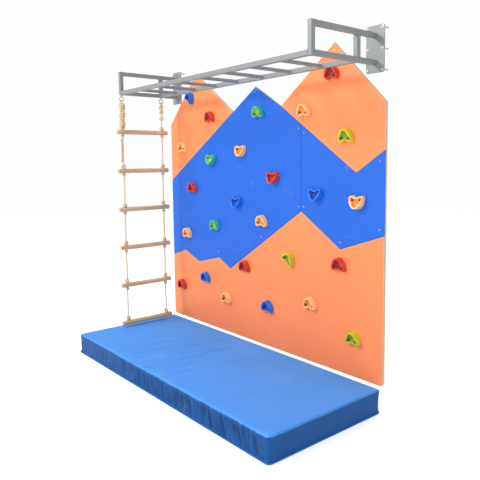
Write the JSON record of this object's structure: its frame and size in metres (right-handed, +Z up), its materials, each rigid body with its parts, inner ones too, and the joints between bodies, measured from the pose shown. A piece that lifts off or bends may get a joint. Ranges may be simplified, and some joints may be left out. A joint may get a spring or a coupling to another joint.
{
  "type": "rock climbing wall",
  "caption": "Wall-mounted family climbing face of orange and blue boards with bolt-on holds, an overhead ladder on wall brackets, a hanging rope ladder and a crash mat.",
  "frame": {"origin": "on the ground, at the middle of the set's footprint", "axes": "X along the wall, +Y into the wall, +Z up"},
  "size_m": [2.44, 1.063, 2.459],
  "materials": {
    "orange_board": "painted birch plywood, satin",
    "blue_board": "painted birch plywood, satin",
    "screw_steel": "zinc plated",
    "hold_red": "cast resin, fine texture",
    "hold_peach": "cast resin, fine texture",
    "hold_lime": "cast resin, fine texture",
    "hold_green": "cast resin, fine texture",
    "hold_blue": "cast resin, fine texture",
    "bolt_steel": "zinc plated",
    "frame_grey": "powder coat, satin",
    "anchor_steel": "zinc plated",
    "mat_vinyl": "coated vinyl cloth",
    "mat_filling": "open-cell foam",
    "mat_trim": "vinyl piping",
    "rope": "twisted cotton rope",
    "rung_wood": "turned hardwood, oiled"
  },
  "bodies": {
    "wall_set": {"panel_lower": "orange_board", "panel_middle_left": "blue_board", "panel_middle_right": "blue_board", "panel_upper_left": "orange_board", "panel_upper_right": "orange_board", "panel_screws": "screw_steel", "holds_red": "hold_red", "holds_peach": "hold_peach", "holds_lime": "hold_lime", "holds_green": "hold_green", "holds_blue": "hold_blue", "hold_bolts": "bolt_steel", "hold_tee_nuts": "bolt_steel", "left_wall_plate": "frame_grey", "right_wall_plate": "frame_grey", "left_bracket": "frame_grey", "right_bracket": "frame_grey", "anchor_bolts": "anchor_steel", "anchor_washers": "anchor_steel", "front_rail": "frame_grey", "rear_rail": "frame_grey", "overhead_rungs": "frame_grey", "eye_bolts": "anchor_steel", "eye_nuts": "anchor_steel"},
    "mat": {"mat_cover": "mat_vinyl", "mat_foam": "mat_filling", "mat_piping": "mat_trim"},
    "ladder_stage_1": {"ladder_rung_1": "rung_wood", "ladder_knots_1": "rope", "rope_front_1": "rope", "rope_rear_1": "rope", "hitch_front": "rope", "hitch_rear": "rope"},
    "ladder_stage_2": {"ladder_rung_2": "rung_wood", "ladder_knots_2": "rope", "rope_front_2": "rope", "rope_rear_2": "rope", "ladder_tail": "rope"},
    "ladder_stage_3": {"ladder_rung_3": "rung_wood", "ladder_knots_3": "rope", "rope_front_3": "rope", "rope_rear_3": "rope"},
    "ladder_stage_4": {"ladder_rung_4": "rung_wood", "ladder_knots_4": "rope", "rope_front_4": "rope", "rope_rear_4": "rope"},
    "ladder_stage_5": {"ladder_rung_5": "rung_wood", "ladder_knots_5": "rope", "rope_front_5": "rope", "rope_rear_5": "rope"},
    "ladder_stage_6": {"ladder_rung_6": "rung_wood", "ladder_knots_6": "rope", "rope_front_6": "rope", "rope_rear_6": "rope"}
  },
  "joints": [
    {"name": "mat_pull_out", "type": "slide", "parent": "wall_set", "child": "mat", "axis": [0, -1, 0], "range_m": [0, 0.6]},
    {"name": "ladder_swing_1", "type": "hinge", "parent": "wall_set", "child": "ladder_stage_1", "pos_m": [-1.123, 0.1005, 2.16099], "axis": [0, 1, 0], "range_deg": [-30, 30]},
    {"name": "ladder_swing_2", "type": "hinge", "parent": "ladder_stage_1", "child": "ladder_stage_2", "pos_m": [-1.123, 0.1005, 1.85449], "axis": [0, 1, 0], "range_deg": [-12, 12]},
    {"name": "ladder_swing_3", "type": "hinge", "parent": "ladder_stage_2", "child": "ladder_stage_3", "pos_m": [-1.123, 0.1005, 1.51509], "axis": [0, 1, 0], "range_deg": [-12, 12]},
    {"name": "ladder_swing_4", "type": "hinge", "parent": "ladder_stage_3", "child": "ladder_stage_4", "pos_m": [-1.123, 0.1005, 1.17569], "axis": [0, 1, 0], "range_deg": [-12, 12]},
    {"name": "ladder_swing_5", "type": "hinge", "parent": "ladder_stage_4", "child": "ladder_stage_5", "pos_m": [-1.123, 0.1005, 0.8363], "axis": [0, 1, 0], "range_deg": [-12, 12]},
    {"name": "ladder_swing_6", "type": "hinge", "parent": "ladder_stage_5", "child": "ladder_stage_6", "pos_m": [-1.123, 0.1005, 0.4969], "axis": [0, 1, 0], "range_deg": [-12, 12]}
  ]
}
